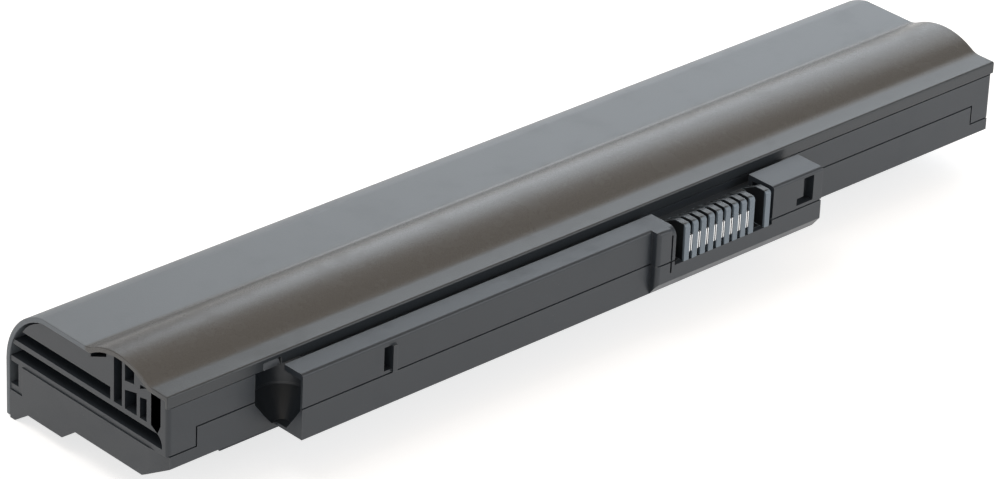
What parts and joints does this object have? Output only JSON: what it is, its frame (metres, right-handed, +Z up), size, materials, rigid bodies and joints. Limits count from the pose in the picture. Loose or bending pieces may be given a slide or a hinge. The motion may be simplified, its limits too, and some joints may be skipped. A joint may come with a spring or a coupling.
{
  "type": "laptop battery",
  "caption": "Long slim laptop battery: ridged matte cover over a two-part case, stepped front block with keyed slots, a latch pocket and a recessed contact connector.",
  "frame": {"origin": "middle of the bottom of the bounding box, on the plane the battery rests on", "axes": "+X along the length towards the end nearer the contacts, +Y from the connector block towards the rounded back, +Z up through the ridged cover"},
  "size_m": [0.248, 0.0638, 0.0314],
  "materials": {
    "cover": "fine-textured satin",
    "case": "semi-gloss moulded",
    "connector": "satin",
    "contact": "bright plated",
    "cell_sleeve": "shrink sleeve",
    "ring": "fibre",
    "nickel": "nickel strip",
    "lead_black": "silicone",
    "lead_red": "silicone",
    "board": "solder mask",
    "solder_metal": "tinned",
    "capacitor": "ceramic",
    "bead": "resin bead",
    "foam": "closed-cell foam",
    "label": "blank film",
    "chip": "moulded"
  },
  "bodies": {
    "root": {"capacitor": "capacitor", "cell_1": "cell_sleeve", "cell_2": "cell_sleeve", "cell_3": "cell_sleeve", "cell_4": "cell_sleeve", "cell_5": "cell_sleeve", "cell_6": "cell_sleeve", "circuit_board": "board", "connector_body": "connector", "contact_1": "contact", "contact_2": "contact", "contact_3": "contact", "contact_4": "contact", "contact_5": "contact", "contact_6": "contact", "contact_7": "contact", "contact_8": "contact", "foam_pad_left": "foam", "foam_pad_right": "foam", "fuse": "solder_metal", "gauge_chip": "chip", "insulator_ring_1": "ring", "insulator_ring_2": "ring", "insulator_ring_3": "ring", "insulator_ring_4": "ring", "insulator_ring_5": "ring", "insulator_ring_6": "ring", "lower_case": "case", "mosfet_1": "chip", "mosfet_2": "chip", "negative_lead": "lead_black", "nickel_strap_1": "nickel", "nickel_strap_2": "nickel", "nickel_strap_3": "nickel", "nickel_strap_4": "nickel", "positive_lead": "lead_red", "protection_chip": "chip", "shunt_resistor": "solder_metal", "thermistor": "bead", "top_cover": "cover", "underside_label": "label", "upper_case": "case"}
  },
  "joints": []
}
